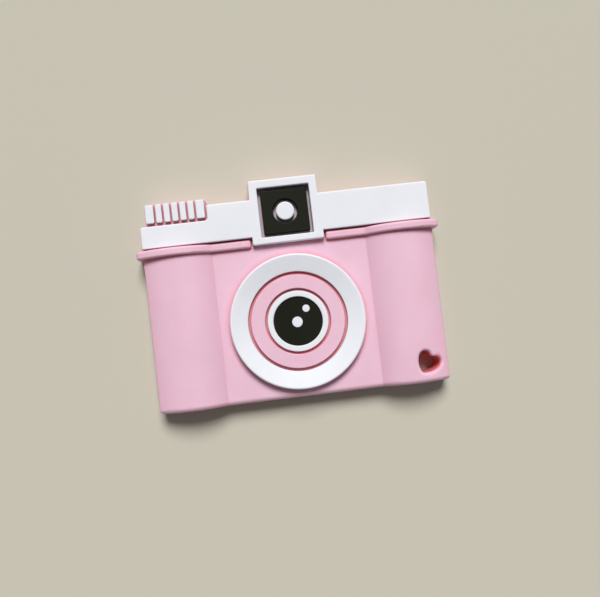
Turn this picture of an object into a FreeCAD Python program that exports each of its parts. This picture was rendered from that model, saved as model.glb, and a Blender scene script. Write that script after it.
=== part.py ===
"""Silicone teether in the shape of a simple old roll-film camera, lying on its flat back.

+X runs to the right seen from the front, +Y towards the viewfinder, +Z out of the face. The origin is on
the flat back, under the middle of the outline. Distances along Y are given from the lower edge, and place()
shifts them.
Each colour is a piece of its own: the white and black pieces sit in shallow pockets of the pink base.
"""

import FreeCAD, Part
import math
import os

# Outline of the pink base, millimetres. The deck is its part above the lip.
BODY_WIDTH = 91.2
LIP_WIDTH = 95.0
TOTAL_HEIGHT = 68.85
LEDGE = 0.3                   # pink edge that shows round the white pieces
CORNER_RADIUS = 0.9
INNER_CORNER = 0.3
DECK_BOTTOM_Y = 44.2          # the deck starts inside the grips, out of sight

# Heights above the flat back
PANEL_Z = 6.8
GRIP_RISE = 3.5
PLATE_Z = 9.0
KNOB_FLOOR_Z = 7.8
POCKET_DEPTH = 1.0
WINDOW_FLOOR_Z = 6.0          # floor of the grooves round the black pad and the button
WINDOW_BASE_Z = 4.0           # underside of the white block that the pad sits in
BACK_ROUNDING = 0.5
DECK_ROUNDING = 0.2

# Grips: two convex half-round bulges beside the flat middle panel
CREASE_X = 24.2
CREASE_RADIUS = 0.6
GRIP_CORNER = 1.2             # upright corners at the lower edge
FRONT_ROUNDING = 1.5          # edge between the face and the sides

# Raised lip between the panel and the top plate
LIP_Y = 49.22                 # middle of the lip
LIP_THICKNESS = 2.5
LIP_PROUD = 1.5               # above the panel and the grips
LIP_INNER_X = 11.7
LIP_ROUNDING = 0.7
LIP_SHOULDER = 2.6            # where the lip turns down the side
LIP_END_CORNER = 0.8          # upright corners of the inner ends

# White top plate with the viewfinder frame
PLATE_HALF_WIDTH = 45.1
PLATE_BOTTOM_Y = 50.95
PLATE_TOP_Y = 62.65
PLATE_STEP_Y = 57.85
PLATE_STEP_X = -24.2
PLATE_CORNER = 0.8
PLATE_LOW_CORNER = 0.5
PLATE_STEP_CORNER = 1.0
NECK_CORNER = 0.2             # where the plate meets the viewfinder frame
EDGE_ROUNDING = 0.35
FRAME_TOP_Y = TOTAL_HEIGHT - LEDGE
FRAME_BOTTOM_Y = 48.5
FRAME_TOP_HALF_WIDTH = 10.6
FRAME_BOTTOM_HALF_WIDTH = 11.2
FRAME_CORNER = 0.5

# Viewfinder window, black pad and round button
WINDOW_HALF_WIDTH = 8.15
WINDOW_BOTTOM_Y = 50.55
WINDOW_TOP_Y = 66.0
WINDOW_CORNER = 0.3
WINDOW_GAP = 0.9
WINDOW_WALL = 1.0             # the block reaches this far past the window
PAD_CORNER = 0.55
PAD_Z = 8.2
BUTTON_Y = 58.25
BUTTON_RADIUS = 2.85
BUTTON_GAP = 1.0
BUTTON_Z = 8.7
BUTTON_ROUNDING = 0.4

# Winding knob
RIB_COUNT = 7
RIB_GAP = 0.6
RIB_PITCH = 2.49
END_RIB_EXTRA = 0.7           # the first and last ribs are this much wider
KNOB_LEFT_X = -43.05
RIB_BOTTOM_Y = 58.75
RIB_TOP_Y = 64.5
RIB_TOP_CORNER = 0.3
RIB_BOTTOM_CORNER = 0.45
KNOB_FLOOR_OVERLAP = 0.4      # the pink step runs this far in under the plate
KNOB_FLOOR_CORNER = 0.1

# Lens rings, radii from the lens axis
LENS_Y = 23.6
LENS_RIM_RADIUS = 21.0
LENS_RIM_Z = 9.8
DISH_INNER_RADIUS = 15.45
DISH_INNER_Z = 8.5
PINK_RING_OUTER = 14.6
PINK_RING_INNER = 10.2
INNER_RING_OUTER = 9.45
INNER_RING_INNER = 7.65
LENS_STEP_Z = 8.5             # top of the pink ring and of the inner white ring
LENS_FLOOR_Z = 7.4            # floor of the two ring grooves
DISC_Z = 7.9
HIGHLIGHT_Z = 8.1
LARGE_HIGHLIGHT = (-0.25, -0.25, 1.65)   # x, y from the lens axis, radius
SMALL_HIGHLIGHT = (2.9, 3.65, 1.15)
HIGHLIGHT_ROUNDING = 0.15
RIM_ROUNDING = 0.5
SMALL_ROUNDING = 0.25

# Heart-shaped hole for a clip strap
HEART_X = 38.7
HEART_Y = 6.4
HEART_TURN = -36.0            # degrees, notch leaning to the right
HEART_LOBE_RADIUS = 1.8
HEART_LOBE_X = 1.85
HEART_LOBE_Y = 0.75
HEART_SIDE_RADIUS = 6.0       # bulging side between a lobe and the tip
HEART_TIP_Y = -2.8            # centre of the rounded tip
HEART_TIP_RADIUS = 1.0
HEART_NOTCH_RADIUS = 1.25
HEART_RIM_ROUNDING = 0.95
HEART_REACH = 6.0             # the whole hole lies within this distance of its middle

HALF_BODY = BODY_WIDTH / 2
HALF_LIP = LIP_WIDTH / 2
UP = FreeCAD.Vector(0, 0, 1)
CLOSE = 1e-4                  # two coordinates this near are the same
CLEAR = 1.0                   # cutting shapes reach this far past what they cut


def place(x, y, z):
    """A point from its x, its height above the lower edge and its height above the back."""
    return FreeCAD.Vector(x, y - TOTAL_HEIGHT / 2, z)


def rounded_outline(corners, z):
    """Closed wire through (x, y, radius) corners, with an arc of that radius at each corner."""
    points = [place(x, y, z) for x, y, radius in corners]
    ends = []
    for i, (x, y, radius) in enumerate(corners):
        corner = points[i]
        to_previous = (points[i - 1] - corner).normalize()
        to_next = (points[(i + 1) % len(points)] - corner).normalize()
        half_angle = to_previous.getAngle(to_next) / 2
        reach = radius / math.tan(half_angle)
        to_centre = (to_previous + to_next).normalize()
        middle = corner + to_centre * (radius / math.sin(half_angle) - radius)
        ends.append((corner + to_previous * reach, middle, corner + to_next * reach))
    edges = []
    for i, (start, middle, finish) in enumerate(ends):
        edges.append(Part.Arc(start, middle, finish).toShape())
        edges.append(Part.makeLine(finish, ends[(i + 1) % len(ends)][0]))
    return Part.Wire(edges)


def prism(wire, height):
    """Solid with the given outline, standing height above it."""
    return Part.Face(wire).extrude(UP * height)


def edges_where(shape, test):
    """The shape's edges whose two ends and middle all pass the test."""
    chosen = []
    for edge in shape.Edges:
        middle = edge.valueAt((edge.FirstParameter + edge.LastParameter) / 2)
        if all(test(point) for point in [vertex.Point for vertex in edge.Vertexes] + [middle]):
            chosen.append(edge)
    return chosen


def round_top(shape, z, radius):
    """Rounds every edge of the flat top face at height z."""
    return shape.makeFillet(radius, edges_where(shape, lambda p: abs(p.z - z) < CLOSE))


def turned(section):
    """Solid of revolution about the lens axis from (radius, z) corners."""
    points = [place(radius, LENS_Y, z) for radius, z in section]
    face = Part.Face(Part.makePolygon(points + points[:1]))
    return face.revolve(place(0, LENS_Y, 0), UP, 360)


def disc(x, y, radius, low, high):
    """Upright cylinder between two heights."""
    return Part.makeCylinder(radius, high - low, place(x, y, low), UP)


def grip_slab(side_x, lift, y_low, y_high):
    """Panel, two grips and the sides, raised by lift, as a slab from y_low to y_high."""
    grip_middle = (CREASE_X + HALF_BODY) / 2
    panel = PANEL_Z + lift
    crest = panel + GRIP_RISE
    corners = [
        place(-side_x, y_low, 0),
        place(-side_x, y_low, panel),
        place(-CREASE_X, y_low, panel),
        place(CREASE_X, y_low, panel),
        place(side_x, y_low, panel),
        place(side_x, y_low, 0),
    ]
    edges = [
        Part.makeLine(corners[0], corners[1]),
        Part.Arc(corners[1], place(-grip_middle, y_low, crest), corners[2]).toShape(),
        Part.makeLine(corners[2], corners[3]),
        Part.Arc(corners[3], place(grip_middle, y_low, crest), corners[4]).toShape(),
        Part.makeLine(corners[4], corners[5]),
        Part.makeLine(corners[5], corners[0]),
    ]
    slab = Part.Face(Part.Wire(edges)).extrude(FreeCAD.Vector(0, y_high - y_low, 0))
    creases = edges_where(slab, lambda p: abs(abs(p.x) - CREASE_X) < CLOSE and abs(p.z - panel) < CLOSE)
    return slab.makeFillet(CREASE_RADIUS + lift, creases)


def lip(side):
    """One half of the raised lip: a rounded band that climbs over the grip and runs down the side."""
    y_low = LIP_Y - LIP_THICKNESS / 2
    slab = grip_slab(HALF_LIP, LIP_PROUD, y_low, y_low + LIP_THICKNESS)
    left = LIP_INNER_X if side > 0 else -HALF_LIP - CLEAR
    length = HALF_LIP + CLEAR - LIP_INNER_X
    half = Part.makeBox(length, LIP_THICKNESS + 2 * CLEAR, HALF_LIP, place(left, y_low - CLEAR, -CLEAR))
    slab = slab.common(half)
    top_z = PANEL_Z + LIP_PROUD
    shoulder = edges_where(slab, lambda p: abs(abs(p.x) - HALF_LIP) < CLOSE and abs(p.z - top_z) < CLOSE)
    slab = slab.makeFillet(LIP_SHOULDER, shoulder)
    inner_end = edges_where(slab, lambda p: abs(abs(p.x) - LIP_INNER_X) < CLOSE)
    slab = slab.makeFillet(LIP_END_CORNER, [edge for edge in inner_end if rise(edge) > PANEL_Z])
    return slab.makeFillet(LIP_ROUNDING, [edge for edge in slab.Edges if is_lip_rim(edge)])


def rise(edge):
    """Height between the two ends of an edge."""
    return abs(edge.Vertexes[0].Point.z - edge.Vertexes[-1].Point.z)


def is_lip_rim(edge):
    """True for the lip's front edges: not on the back, not across the lip, not up its inner end."""
    ends = [vertex.Point for vertex in edge.Vertexes]
    on_back = [abs(p.z) < CLOSE for p in ends]
    crosses = abs(ends[0].y - ends[-1].y) > LIP_THICKNESS - CLOSE
    up_inner_end = any(on_back) and min(abs(p.x) for p in ends) < HALF_LIP - CLEAR
    return not (all(on_back) or crosses or up_inner_end)


def base_outline(z):
    """Outline of the deck: a ledge wider than the plate, the knob and the viewfinder."""
    frame_foot = frame_half_width(PLATE_TOP_Y) + LEDGE
    frame_top = FRAME_TOP_HALF_WIDTH + LEDGE
    knob_left = KNOB_LEFT_X - LEDGE
    knob_right = knob_right_x() + LEDGE
    shoulder_y = PLATE_TOP_Y + LEDGE
    step_y = PLATE_STEP_Y + LEDGE
    knob_top = RIB_TOP_Y + LEDGE
    return rounded_outline(
        [
            (-HALF_BODY, DECK_BOTTOM_Y, CORNER_RADIUS),
            (HALF_BODY, DECK_BOTTOM_Y, CORNER_RADIUS),
            (HALF_BODY, shoulder_y, CORNER_RADIUS),
            (frame_foot, shoulder_y, INNER_CORNER),
            (frame_top, TOTAL_HEIGHT, FRAME_CORNER),
            (-frame_top, TOTAL_HEIGHT, FRAME_CORNER),
            (-frame_foot, shoulder_y, INNER_CORNER),
            (knob_right, shoulder_y, INNER_CORNER),
            (knob_right, knob_top, FRAME_CORNER),
            (knob_left, knob_top, FRAME_CORNER),
            (knob_left, step_y, INNER_CORNER),
            (-HALF_BODY, step_y, CORNER_RADIUS),
        ],
        z,
    )


def frame_half_width(y):
    """Half width of the viewfinder frame, which narrows a little towards the top."""
    share = (y - FRAME_BOTTOM_Y) / (FRAME_TOP_Y - FRAME_BOTTOM_Y)
    return FRAME_BOTTOM_HALF_WIDTH + share * (FRAME_TOP_HALF_WIDTH - FRAME_BOTTOM_HALF_WIDTH)


def knob_right_x():
    """Right edge of the last rib."""
    return KNOB_LEFT_X + RIB_COUNT * RIB_PITCH - RIB_GAP + 2 * END_RIB_EXTRA


def touching_centre(first, first_reach, second, second_reach):
    """Point at the given distances from first and second, on the left of the way from one to the other."""
    apart = second - first
    along = (apart.Length**2 + first_reach**2 - second_reach**2) / (2 * apart.Length)
    aside = math.sqrt(first_reach**2 - along**2)
    direction = apart / apart.Length
    return first + direction * along + FreeCAD.Vector(-direction.y, direction.x, 0) * aside


def arc_about(centre, start, finish):
    """The shorter arc between two points about a centre."""
    middle = (start + finish) / 2 - centre
    middle = centre + middle.normalize() * (start - centre).Length
    return Part.Arc(start, middle, finish).toShape()


def heart_outline(z):
    """Heart at its place: two round lobes, bulging sides, a rounded tip and a rounded notch."""
    lobe = FreeCAD.Vector(HEART_LOBE_X, HEART_LOBE_Y, 0)
    tip = FreeCAD.Vector(0, HEART_TIP_Y, 0)
    side = touching_centre(
        tip, HEART_SIDE_RADIUS - HEART_TIP_RADIUS, lobe, HEART_SIDE_RADIUS - HEART_LOBE_RADIUS
    )
    side_low = side + (tip - side).normalize() * HEART_SIDE_RADIUS
    side_high = side + (lobe - side).normalize() * HEART_SIDE_RADIUS
    notch_reach = HEART_LOBE_RADIUS + HEART_NOTCH_RADIUS
    notch = FreeCAD.Vector(0, lobe.y + math.sqrt(notch_reach**2 - lobe.x**2), 0)
    lobe_end = lobe + (notch - lobe) * (HEART_LOBE_RADIUS / notch_reach)

    def mirrored(point):
        return FreeCAD.Vector(-point.x, point.y, 0)

    wire = Part.Wire(
        [
            arc_about(tip, mirrored(side_low), side_low),
            arc_about(side, side_low, side_high),
            arc_about(lobe, side_high, lobe_end),
            arc_about(notch, lobe_end, mirrored(lobe_end)),
            arc_about(mirrored(lobe), mirrored(lobe_end), mirrored(side_high)),
            arc_about(mirrored(side), mirrored(side_high), mirrored(side_low)),
        ]
    )
    wire.rotate(FreeCAD.Vector(), UP, HEART_TURN)
    wire.translate(place(HEART_X, HEART_Y, z))
    return wire


def make_base():
    """Pink base before the pockets are cut: panel with grips, lip, top deck, lens seat and heart hole."""
    base = grip_slab(HALF_BODY, 0, 0, LIP_Y)
    low_y = place(0, 0, 0).y
    corners = edges_where(base, lambda p: abs(abs(p.x) - HALF_BODY) < CLOSE and abs(p.y - low_y) < CLOSE)
    base = base.makeFillet(GRIP_CORNER, corners)
    shoulders = edges_where(base, lambda p: abs(abs(p.x) - HALF_BODY) < CLOSE and abs(p.z - PANEL_Z) < CLOSE)
    front = edges_where(base, lambda p: p.y < low_y + GRIP_CORNER + CLOSE and p.z > PANEL_Z - CLOSE)
    base = base.makeFillet(FRONT_ROUNDING, shoulders + front)
    deck = round_top(prism(base_outline(0), PANEL_Z), PANEL_Z, DECK_ROUNDING)
    base = base.fuse(deck).removeSplitter()
    for side in (-1, 1):
        base = base.fuse(lip(side))
    base = base.fuse(disc(0, LENS_Y, DISH_INNER_RADIUS, PANEL_Z - POCKET_DEPTH, LENS_FLOOR_Z))
    base = base.fuse(lens_ring(PINK_RING_INNER, PINK_RING_OUTER, PANEL_Z - POCKET_DEPTH, LENS_STEP_Z))
    base = base.fuse(knob_floor())
    base = base.cut(prism(window_outline(0, WINDOW_CORNER, WINDOW_FLOOR_Z), PLATE_Z))
    base = base.cut(prism(heart_outline(-CLEAR), HALF_BODY)).removeSplitter()
    heart = place(HEART_X, HEART_Y, 0)
    rim = edges_where(
        base, lambda p: math.hypot(p.x - heart.x, p.y - heart.y) < HEART_REACH and p.z > PANEL_Z
    )
    base = base.makeFillet(HEART_RIM_ROUNDING, rim)
    back = edges_where(base, lambda p: abs(p.z) < CLOSE)
    return base.makeFillet(BACK_ROUNDING, back)


def lens_ring(inner, outer, low, high):
    """Flat ring about the lens axis with its two top edges rounded."""
    ring = disc(0, LENS_Y, outer, low, high).cut(disc(0, LENS_Y, inner, low - CLEAR, high + CLEAR))
    return round_top(ring, high, SMALL_ROUNDING)


def knob_floor():
    """Low pink step under the ribs of the knob."""
    left = KNOB_LEFT_X - LEDGE
    right = knob_right_x() + LEDGE
    low = PLATE_STEP_Y - KNOB_FLOOR_OVERLAP
    step_x = PLATE_STEP_X + LEDGE / 2
    step_y = PLATE_TOP_Y + LEDGE / 2
    outline = rounded_outline(
        [
            (left, low, KNOB_FLOOR_CORNER),
            (step_x, low, KNOB_FLOOR_CORNER),
            (step_x, step_y, KNOB_FLOOR_CORNER),
            (right, step_y, KNOB_FLOOR_CORNER),
            (right, RIB_TOP_Y + LEDGE, FRAME_CORNER),
            (left, RIB_TOP_Y + LEDGE, FRAME_CORNER),
        ],
        PANEL_Z - POCKET_DEPTH,
    )
    return prism(outline, KNOB_FLOOR_Z - PANEL_Z + POCKET_DEPTH)


def make_plate():
    """White strip with the square viewfinder frame and the floor of its window, one piece."""
    left, right, low, high = -PLATE_HALF_WIDTH, PLATE_HALF_WIDTH, PLATE_BOTTOM_Y, PLATE_TOP_Y
    foot = frame_half_width(low)
    neck = frame_half_width(high)
    bottom_z = PANEL_Z - POCKET_DEPTH
    outline = rounded_outline(
        [
            (left, low, PLATE_LOW_CORNER),
            (-foot, low, NECK_CORNER),
            (-FRAME_BOTTOM_HALF_WIDTH, FRAME_BOTTOM_Y, FRAME_CORNER),
            (FRAME_BOTTOM_HALF_WIDTH, FRAME_BOTTOM_Y, FRAME_CORNER),
            (foot, low, NECK_CORNER),
            (right, low, PLATE_LOW_CORNER),
            (right, high, PLATE_CORNER),
            (neck, high, NECK_CORNER),
            (FRAME_TOP_HALF_WIDTH, FRAME_TOP_Y, FRAME_CORNER),
            (-FRAME_TOP_HALF_WIDTH, FRAME_TOP_Y, FRAME_CORNER),
            (-neck, high, NECK_CORNER),
            (PLATE_STEP_X, high, PLATE_LOW_CORNER),
            (PLATE_STEP_X, PLATE_STEP_Y, PLATE_STEP_CORNER),
            (left, PLATE_STEP_Y, PLATE_CORNER),
        ],
        bottom_z,
    )
    plate = prism(outline, PLATE_Z - bottom_z)
    block = prism(window_outline(WINDOW_WALL, WINDOW_CORNER, WINDOW_BASE_Z), PANEL_Z - WINDOW_BASE_Z)
    plate = plate.fuse(block)
    plate = plate.cut(prism(window_outline(0, WINDOW_CORNER, WINDOW_FLOOR_Z), PLATE_Z)).removeSplitter()
    return round_top(plate, PLATE_Z, EDGE_ROUNDING)


def window_outline(margin, radius, z):
    """Rounded rectangle of the viewfinder window, larger all round by a margin."""
    half_width = WINDOW_HALF_WIDTH + margin
    low_y = WINDOW_BOTTOM_Y - margin
    high_y = WINDOW_TOP_Y + margin
    corners = [(-half_width, low_y), (half_width, low_y), (half_width, high_y), (-half_width, high_y)]
    return rounded_outline([(x, y, radius) for x, y in corners], z)


def make_pad():
    """Black square with a round hole for the button and its groove."""
    low = WINDOW_FLOOR_Z - POCKET_DEPTH
    pad = prism(window_outline(-WINDOW_GAP, PAD_CORNER, low), PAD_Z - low)
    pad = pad.cut(disc(0, BUTTON_Y, BUTTON_RADIUS + BUTTON_GAP, low - CLEAR, PAD_Z + CLEAR))
    return round_top(pad, PAD_Z, SMALL_ROUNDING)


def make_button(x, y, radius, low, high, rounding):
    """Round button with a rounded top edge."""
    return round_top(disc(x, y, radius, low, high), high, rounding)


def make_rib(index):
    """One upright rib of the knob; the first and last are wider."""
    last = RIB_COUNT - 1
    left = KNOB_LEFT_X + index * RIB_PITCH + (END_RIB_EXTRA if index > 0 else 0)
    width = RIB_PITCH - RIB_GAP + (END_RIB_EXTRA if index in (0, last) else 0)
    low = KNOB_FLOOR_Z - POCKET_DEPTH
    outline = rounded_outline(
        [
            (left, RIB_BOTTOM_Y, RIB_BOTTOM_CORNER),
            (left + width, RIB_BOTTOM_Y, RIB_BOTTOM_CORNER),
            (left + width, RIB_TOP_Y, RIB_TOP_CORNER),
            (left, RIB_TOP_Y, RIB_TOP_CORNER),
        ],
        low,
    )
    return round_top(prism(outline, PLATE_Z - low), PLATE_Z, SMALL_ROUNDING)


def make_outer_ring():
    """Wide white ring whose face slopes down towards the lens."""
    low = PANEL_Z - POCKET_DEPTH
    ring = turned(
        [
            (DISH_INNER_RADIUS, low),
            (LENS_RIM_RADIUS, low),
            (LENS_RIM_RADIUS, LENS_RIM_Z),
            (DISH_INNER_RADIUS, DISH_INNER_Z),
        ]
    )
    rim = edges_where(ring, lambda p: abs(p.z - LENS_RIM_Z) < CLOSE)
    ring = ring.makeFillet(RIM_ROUNDING, rim)
    inner = edges_where(ring, lambda p: abs(p.z - DISH_INNER_Z) < CLOSE)
    return ring.makeFillet(SMALL_ROUNDING, inner)


def make_pieces():
    """Every white and black piece by node name, none of them overlapping another."""
    lens_low = LENS_FLOOR_Z - POCKET_DEPTH
    window_low = WINDOW_FLOOR_Z - POCKET_DEPTH
    pad = make_pad()
    button = make_button(0, BUTTON_Y, BUTTON_RADIUS, window_low, BUTTON_Z, BUTTON_ROUNDING)
    pieces = {
        "top_plate": make_plate().cut(pad).cut(button),
        "viewfinder_pad": pad,
        "viewfinder_button": button,
        "lens_outer_ring": make_outer_ring(),
        "lens_inner_ring": lens_ring(INNER_RING_INNER, INNER_RING_OUTER, lens_low, LENS_STEP_Z),
    }
    for index in range(RIB_COUNT):
        pieces["knob_rib_%d" % (index + 1)] = make_rib(index)
    lens_disc = disc(0, LENS_Y, INNER_RING_INNER, lens_low, DISC_Z)
    for name, (x, y, radius) in (("large", LARGE_HIGHLIGHT), ("small", SMALL_HIGHLIGHT)):
        dot = make_button(x, LENS_Y + y, radius, lens_low, HIGHLIGHT_Z, HIGHLIGHT_ROUNDING)
        lens_disc = lens_disc.cut(dot)
        pieces["lens_highlight_" + name] = dot
    pieces["lens_disc"] = lens_disc
    return pieces


def main():
    os.makedirs("parts", exist_ok=True)
    pieces = make_pieces()
    base = make_base()
    for piece in pieces.values():
        base = base.cut(piece)
    pieces["body"] = base
    for name, shape in pieces.items():
        assert shape.isValid() and len(shape.Solids) == 1, name
        shape.exportStep("parts/%s.step" % name)
        print(name, round(shape.Volume, 1), shape.BoundBox)


main()
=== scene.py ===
import math

import bpy
from mathutils import Matrix, Vector

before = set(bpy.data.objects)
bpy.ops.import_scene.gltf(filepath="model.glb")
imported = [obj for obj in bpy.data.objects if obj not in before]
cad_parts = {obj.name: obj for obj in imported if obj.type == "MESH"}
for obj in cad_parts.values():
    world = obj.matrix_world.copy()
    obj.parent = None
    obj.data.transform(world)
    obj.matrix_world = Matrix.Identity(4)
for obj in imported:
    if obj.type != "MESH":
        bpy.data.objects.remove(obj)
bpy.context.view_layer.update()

MM = 0.001

# ---------------------------------------------------------------- colours, linear
PINK = (0.855, 0.570, 0.700)
# painted shade: darker pink on slopes and walls
PINK_SLOPE_SHADE = (0.830, 0.520, 0.655)
# painted shade: darker, redder pink in grooves and under edges
PINK_GROOVE_SHADE = (0.700, 0.190, 0.225)
# painted shade: dark red on the walls of the heart-shaped hole
PINK_HOLE_SHADE = (0.760, 0.190, 0.215)
WHITE = (0.840, 0.865, 0.935)
# painted shade: mauve in the grooves of the white silicone
WHITE_GROOVE_SHADE = (0.420, 0.270, 0.290)
BLACK = (0.012, 0.0125, 0.008)
FLOOR_COLOUR = (0.59, 0.565, 0.475)
WALL_COLOUR = (0.97, 0.975, 1.0)
KEY_COLOUR = (1.0, 0.985, 0.96)

# ---------------------------------------------------------------- silicone, noise scales per metre
CLOUD_SCALE = 90.0
CLOUD_DETAIL = 3.0
CLOUD_LOW = 0.3               # noise values that take the darkest and the lightest colour
CLOUD_HIGH = 0.7
SHEEN_SCALE = 400.0
SHEEN_DETAIL = 4.0
SHEEN_SPREAD = 0.06           # how far the roughness goes up and down
GRAIN_SCALE = 5200.0
GRAIN_DETAIL = 2.0
GRAIN_HEIGHT = 0.02 * MM
SLOPE_FULL = 0.80             # upward part of the normal where the painted slope shade is full, and where there is none
SLOPE_NONE = 0.98
# painted groove shade, by how closed in a place is
GROOVE_REACH = 2.2 * MM       # how near other walls have to be to close a place in
GROOVE_SAMPLES = 8
GROOVE_FADE = 3.3             # the painted groove shade ends at this many times its fullest openness
SILICONE_IOR = 1.41
SUBSURFACE_SCALE = 1.0 * MM

# ---------------------------------------------------------------- painted shade on the walls of the heart-shaped hole
HEART_PLACE = (38.7 * MM, -28.0 * MM, 8.3 * MM)   # its middle, at the height where the rounded rim ends
HEART_WALL_FULL = 3.9 * MM    # distance from the middle where the painted shade on the wall is full, and where there is none
HEART_WALL_NONE = 4.6 * MM
HEART_RIM_FULL = -0.6 * MM    # height over the place where the painted shade on the wall is full, and where there is none
HEART_RIM_NONE = 0.9 * MM

# ---------------------------------------------------------------- floor and light
HALF_FLOOR = 15.0
FLOOR_ROUGHNESS = 0.9
GLOW_LOW = 0.02               # sines of the heights between which the studio walls get darker
GLOW_HIGH = 0.36
GLOW_AT_WALLS = 0.46
GLOW_OVERHEAD = 0.13
KEY_DIRECTION = (0.05, 0.65, 0.80)
KEY_SOFTNESS = 27.0           # degrees across
KEY_STRENGTH = 3.32

# ---------------------------------------------------------------- camera, nearly straight above the toy
CAMERA_PLACE = (-6.45 * MM, -11.08 * MM, 195.0 * MM)
CAMERA_TILT_Y = -2.400        # degrees
CAMERA_TILT_X = 2.186
CAMERA_ROLL = -6.798
CAMERA_LENS = 36.137          # millimetres, like the sensor
CAMERA_SENSOR = 36.0
CAMERA_NEAREST = 0.01
CAMERA_FARTHEST = 20.0

# socket numbers of the Mix node when it mixes colours
MIX_FACTOR = 0
MIX_COLOUR_A = 6
MIX_COLOUR_B = 7
MIX_COLOUR_OUT = 2


def new_material(name):
    """An empty node material with a Principled shader; returns the material, its tree and the shader."""
    material = bpy.data.materials.new(name)
    material.use_nodes = True
    tree = material.node_tree
    tree.nodes.clear()
    output = tree.nodes.new("ShaderNodeOutputMaterial")
    shader = tree.nodes.new("ShaderNodeBsdfPrincipled")
    tree.links.new(shader.outputs["BSDF"], output.inputs["Surface"])
    return material, tree, shader


def noise(tree, scale, detail, vector):
    """A noise texture value from 0 to 1."""
    node = tree.nodes.new("ShaderNodeTexNoise")
    node.inputs["Scale"].default_value = scale
    node.inputs["Detail"].default_value = detail
    tree.links.new(vector, node.inputs["Vector"])
    return node.outputs["Fac"]


def map_range(tree, value, from_low, from_high, to_low, to_high):
    """Takes a value from one range to another and stops it at the ends."""
    node = tree.nodes.new("ShaderNodeMapRange")
    node.inputs["From Min"].default_value = from_low
    node.inputs["From Max"].default_value = from_high
    node.inputs["To Min"].default_value = to_low
    node.inputs["To Max"].default_value = to_high
    tree.links.new(value, node.inputs["Value"])
    return node.outputs["Result"]


def falling(tree, value, full, none):
    """1 where the value is at full or below, 0 where it is at none or above."""
    return map_range(tree, value, full, none, 1.0, 0.0)


def mix_colours(tree, factor, first, second):
    """Mixes from the first colour, a socket, to the second, a constant."""
    node = tree.nodes.new("ShaderNodeMix")
    node.data_type = "RGBA"
    tree.links.new(factor, node.inputs[MIX_FACTOR])
    tree.links.new(first, node.inputs[MIX_COLOUR_A])
    node.inputs[MIX_COLOUR_B].default_value = (*second, 1)
    return node.outputs[MIX_COLOUR_OUT]


def vector_maths(tree, operation, vector, constant=None):
    """A vector operation on a socket, with a constant as its second vector if it takes one."""
    node = tree.nodes.new("ShaderNodeVectorMath")
    node.operation = operation
    tree.links.new(vector, node.inputs[0])
    if constant:
        node.inputs[1].default_value = constant
    return node


def height_of(tree, vector):
    """The Z part of a vector."""
    node = tree.nodes.new("ShaderNodeSeparateXYZ")
    tree.links.new(vector, node.inputs["Vector"])
    return node.outputs["Z"]


def cloudy(tree, place, colour, variation):
    """The colour with soft clouds a little darker and lighter than it."""
    ramp = tree.nodes.new("ShaderNodeValToRGB")
    darkest, lightest = ramp.color_ramp.elements
    darkest.position = CLOUD_LOW
    darkest.color = (*[c * (1 - variation) for c in colour], 1)
    lightest.position = CLOUD_HIGH
    lightest.color = (*[min(1.0, c * (1 + variation)) for c in colour], 1)
    tree.links.new(noise(tree, CLOUD_SCALE, CLOUD_DETAIL, place), ramp.inputs["Fac"])
    return ramp.outputs["Color"]


def slope_shade_mask(tree, normal):
    """Where the painted slope shade goes: 1 on slopes and walls, 0 on flat tops."""
    return falling(tree, height_of(tree, normal), SLOPE_FULL, SLOPE_NONE)


def groove_shade_mask(tree, deepest):
    """Where the painted groove shade goes: 1 in the deepest grooves, 0 in the open."""
    closed_in = tree.nodes.new("ShaderNodeAmbientOcclusion")
    closed_in.inputs["Distance"].default_value = GROOVE_REACH
    closed_in.samples = GROOVE_SAMPLES
    return falling(tree, closed_in.outputs["AO"], deepest, GROOVE_FADE * deepest)


def hole_shade_mask(tree, place):
    """Where the painted dark red shade goes: 1 on the walls of the heart-shaped hole, 0 elsewhere."""
    offset = vector_maths(tree, "SUBTRACT", place, HEART_PLACE).outputs["Vector"]
    flat = vector_maths(tree, "MULTIPLY", offset, (1, 1, 0)).outputs["Vector"]
    distance = vector_maths(tree, "LENGTH", flat).outputs["Value"]
    both = tree.nodes.new("ShaderNodeMath")
    both.operation = "MULTIPLY"
    tree.links.new(falling(tree, distance, HEART_WALL_FULL, HEART_WALL_NONE), both.inputs[0])
    tree.links.new(falling(tree, height_of(tree, offset), HEART_RIM_FULL, HEART_RIM_NONE), both.inputs[1])
    return both.outputs["Value"]


def add_grain(tree, shader, place, strength):
    """Fine satin grain as a bump."""
    bump = tree.nodes.new("ShaderNodeBump")
    bump.inputs["Strength"].default_value = strength
    bump.inputs["Distance"].default_value = GRAIN_HEIGHT
    tree.links.new(noise(tree, GRAIN_SCALE, GRAIN_DETAIL, place), bump.inputs["Height"])
    tree.links.new(bump.outputs["Normal"], shader.inputs["Normal"])


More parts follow.
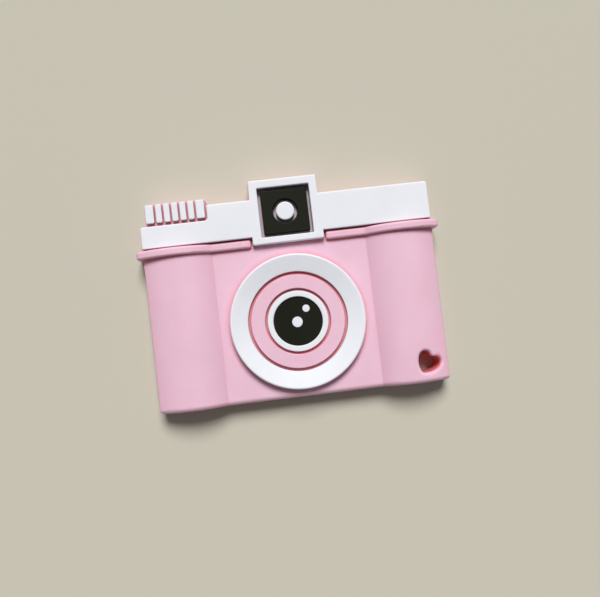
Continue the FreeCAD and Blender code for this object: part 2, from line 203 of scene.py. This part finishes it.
def silicone(
    name, colour, variation, roughness, grain, gloss,
    subsurface=0.0, radius=(1.0, 1.0, 1.0), side=None, groove_shade=None, deepest=None, hole=None,
):
    """Matte moulded silicone: soft cloudy colour, uneven sheen and a fine satin grain.

    Painted shade: slopes take the darker side colour, grooves the darker, redder groove colour and the
    walls of the heart-shaped hole a dark red, in place of the shade and the light reddened in the
    silicone there.
    deepest is how open, from 0 to 1, the deepest grooves are.
    """
    material, tree, shader = new_material(name)
    coordinates = tree.nodes.new("ShaderNodeTexCoord")
    place = coordinates.outputs["Object"]
    paint = cloudy(tree, place, colour, variation)
    # painted shade: slopes take the darker side colour
    if side:
        paint = mix_colours(tree, slope_shade_mask(tree, coordinates.outputs["Normal"]), paint, side)
    # painted shade: grooves take the darker, redder groove colour
    if groove_shade:
        paint = mix_colours(tree, groove_shade_mask(tree, deepest), paint, groove_shade)
    # painted shade: the walls of the heart-shaped hole take a dark red
    if hole:
        paint = mix_colours(tree, hole_shade_mask(tree, place), paint, hole)
    tree.links.new(paint, shader.inputs["Base Color"])
    sheen = noise(tree, SHEEN_SCALE, SHEEN_DETAIL, place)
    sheen = map_range(tree, sheen, 0.0, 1.0, roughness - SHEEN_SPREAD, roughness + SHEEN_SPREAD)
    tree.links.new(sheen, shader.inputs["Roughness"])
    add_grain(tree, shader, place, grain)
    shader.inputs["IOR"].default_value = SILICONE_IOR
    shader.inputs["Subsurface Weight"].default_value = subsurface
    shader.inputs["Subsurface Radius"].default_value = radius
    shader.inputs["Subsurface Scale"].default_value = SUBSURFACE_SCALE
    shader.inputs["Specular IOR Level"].default_value = gloss
    return material


def colour_pieces():
    """Gives every CAD node the silicone that its slot is named after."""
    pink = silicone(
        "pink_silicone", PINK, variation=0.03, roughness=0.46, grain=0.35, gloss=0.45,
        subsurface=0.45, radius=(1.0, 0.25, 0.3),
        # painted shade on slopes, in grooves and on the walls of the heart-shaped hole
        side=PINK_SLOPE_SHADE, groove_shade=PINK_GROOVE_SHADE, deepest=0.29, hole=PINK_HOLE_SHADE,
    )
    white = silicone(
        "white_silicone", WHITE, variation=0.015, roughness=0.5, grain=0.3, gloss=0.3,
        # painted mauve shade in the white grooves
        subsurface=0.30, radius=(1.0, 0.75, 0.80), groove_shade=WHITE_GROOVE_SHADE, deepest=0.16,
    )
    black = silicone("black_silicone", BLACK, variation=0.12, roughness=0.5, grain=0.3, gloss=0.12)
    by_slot = {"pink_silicone": pink, "white_silicone": white, "black_silicone": black}
    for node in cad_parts.values():
        for slot in node.material_slots:
            slot_name = next(key for key in by_slot if key in slot.material.name)
            slot.material = by_slot[slot_name]


def add_floor():
    """Plain pale floor under the toy."""
    corners = [(-1, -1), (1, -1), (1, 1), (-1, 1)]
    mesh = bpy.data.meshes.new("floor")
    mesh.from_pydata([(x * HALF_FLOOR, y * HALF_FLOOR, 0) for x, y in corners], [], [(0, 1, 2, 3)])
    material, _, shader = new_material("floor_paint")
    shader.inputs["Base Color"].default_value = (*FLOOR_COLOUR, 1)
    shader.inputs["Roughness"].default_value = FLOOR_ROUGHNESS
    mesh.materials.append(material)
    floor = bpy.data.objects.new("floor", mesh)
    bpy.context.scene.collection.objects.link(floor)
    return floor


def light_studio():
    """Dim light from all round, paler near the floor, as from studio walls."""
    world = bpy.data.worlds.new("studio")
    bpy.context.scene.world = world
    world.use_nodes = True
    tree = world.node_tree
    background = tree.nodes["Background"]
    background.inputs["Color"].default_value = (*WALL_COLOUR, 1)
    direction = tree.nodes.new("ShaderNodeTexCoord").outputs["Generated"]
    glow = map_range(tree, height_of(tree, direction), GLOW_LOW, GLOW_HIGH, GLOW_AT_WALLS, GLOW_OVERHEAD)
    tree.links.new(glow, background.inputs["Strength"])


def add_key_light():
    """Large soft light from above the viewfinder side."""
    data = bpy.data.lights.new("key_light", "SUN")
    data.angle = math.radians(KEY_SOFTNESS)
    data.energy = KEY_STRENGTH
    data.color = KEY_COLOUR
    key_light = bpy.data.objects.new("key_light", data)
    key_light.rotation_euler = Vector(KEY_DIRECTION).to_track_quat("Z", "Y").to_euler()
    bpy.context.scene.collection.objects.link(key_light)


def add_camera():
    """Camera that looks down at the toy and is turned a little about its view."""
    data = bpy.data.cameras.new("camera")
    data.sensor_width = CAMERA_SENSOR
    data.lens = CAMERA_LENS
    data.clip_start = CAMERA_NEAREST
    data.clip_end = CAMERA_FARTHEST
    camera = bpy.data.objects.new("camera", data)
    turn = (
        Matrix.Rotation(math.radians(CAMERA_TILT_Y), 4, "Y")
        @ Matrix.Rotation(math.radians(CAMERA_TILT_X), 4, "X")
        @ Matrix.Rotation(math.radians(CAMERA_ROLL), 4, "Z")
    )
    camera.matrix_world = Matrix.Translation(CAMERA_PLACE) @ turn
    bpy.context.scene.collection.objects.link(camera)
    return camera


colour_pieces()
floor = add_floor()
light_studio()
add_key_light()
bpy.context.scene.camera = add_camera()
bpy.context.scene.view_settings.view_transform = "Standard"
